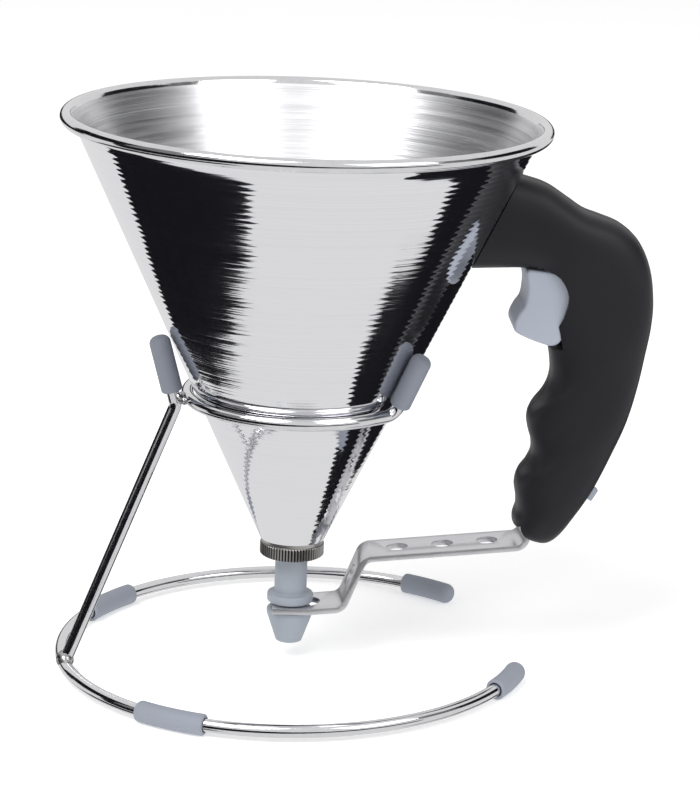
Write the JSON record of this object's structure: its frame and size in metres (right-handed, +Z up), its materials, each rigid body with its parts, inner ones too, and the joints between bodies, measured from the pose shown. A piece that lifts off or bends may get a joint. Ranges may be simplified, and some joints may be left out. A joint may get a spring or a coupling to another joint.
{
  "type": "piston funnel",
  "caption": "Conical steel funnel with a trigger grip, a strip that lifts a piston tube to open the nozzle, and an open wire stand with rubber feet.",
  "frame": {"origin": "middle of the footprint, on the surface that the rubber feet rest on", "axes": "+X from the funnel towards the handle, +Y across it to the side that holds the screw heads, +Z up"},
  "size_m": [0.1862, 0.1504, 0.1762],
  "materials": {
    "polished_steel": "mirror polished stainless steel",
    "satin_steel": "satin",
    "knurled_steel": "turned and knurled",
    "black_plastic": "matte moulded",
    "grey_plastic": "satin moulded",
    "tube_plastic": "satin moulded",
    "grey_rubber": "matte",
    "seal_rubber": "matte"
  },
  "bodies": {
    "stand": {"base_ring": "polished_steel", "support_leg": "polished_steel", "cradle_wire": "polished_steel", "foot_sleeve_front": "grey_rubber", "foot_sleeve_rear": "grey_rubber", "foot_cap_front": "grey_rubber", "foot_cap_rear": "grey_rubber", "cradle_cap_leg": "grey_rubber", "cradle_cap_front": "grey_rubber", "cradle_cap_rear": "grey_rubber"},
    "funnel": {"cone_shell": "polished_steel", "outlet_ferrule": "knurled_steel", "valve_bush": "tube_plastic", "seal_ring": "seal_rubber", "handle_bracket": "satin_steel", "handle_shell_near": "black_plastic", "handle_shell_far": "black_plastic", "handle_screw_arm": "satin_steel", "handle_screw_shoulder": "satin_steel", "handle_screw_grip": "satin_steel", "trigger_pin": "satin_steel", "return_spring": "satin_steel"},
    "trigger": {"trigger": "grey_plastic"},
    "lifter": {"lifter_strip": "satin_steel", "piston_tube": "tube_plastic", "nozzle_tip": "tube_plastic"},
    "outlet_nut": {"knurled_nut": "knurled_steel"},
    "stroke_slide": {"stroke_slide": "grey_plastic"}
  },
  "joints": [
    {"name": "lift_off", "type": "slide", "parent": "stand", "child": "funnel", "axis": [0.0269, 0, 0.9996], "range_m": [0, 0.11]},
    {"name": "trigger_pull", "type": "hinge", "parent": "funnel", "child": "trigger", "pos_m": [0.06011, 0, 0.13133], "axis": [0, -1, 0], "range_deg": [0, 16.67]},
    {"name": "piston_lift", "type": "slide", "parent": "funnel", "child": "lifter", "axis": [0.0269, 0, 0.9996], "range_m": [0, 0.005], "stiffness_N_per_m": 400, "springref_m": -0.008, "deforming": ["return_spring"]},
    {"name": "nut_turn", "type": "hinge", "parent": "funnel", "child": "outlet_nut", "pos_m": [-0.01817, 0, 0.0368], "axis": [0.0269, 0, 0.9996], "continuous": true},
    {"name": "stroke_setting", "type": "slide", "parent": "funnel", "child": "stroke_slide", "axis": [0.5155, 0, 0.8569], "range_m": [0, 0.008]}
  ],
  "couplings": [
    {"joint": "trigger_pull", "follows": "piston_lift", "rad_per_m": 58.17}
  ]
}
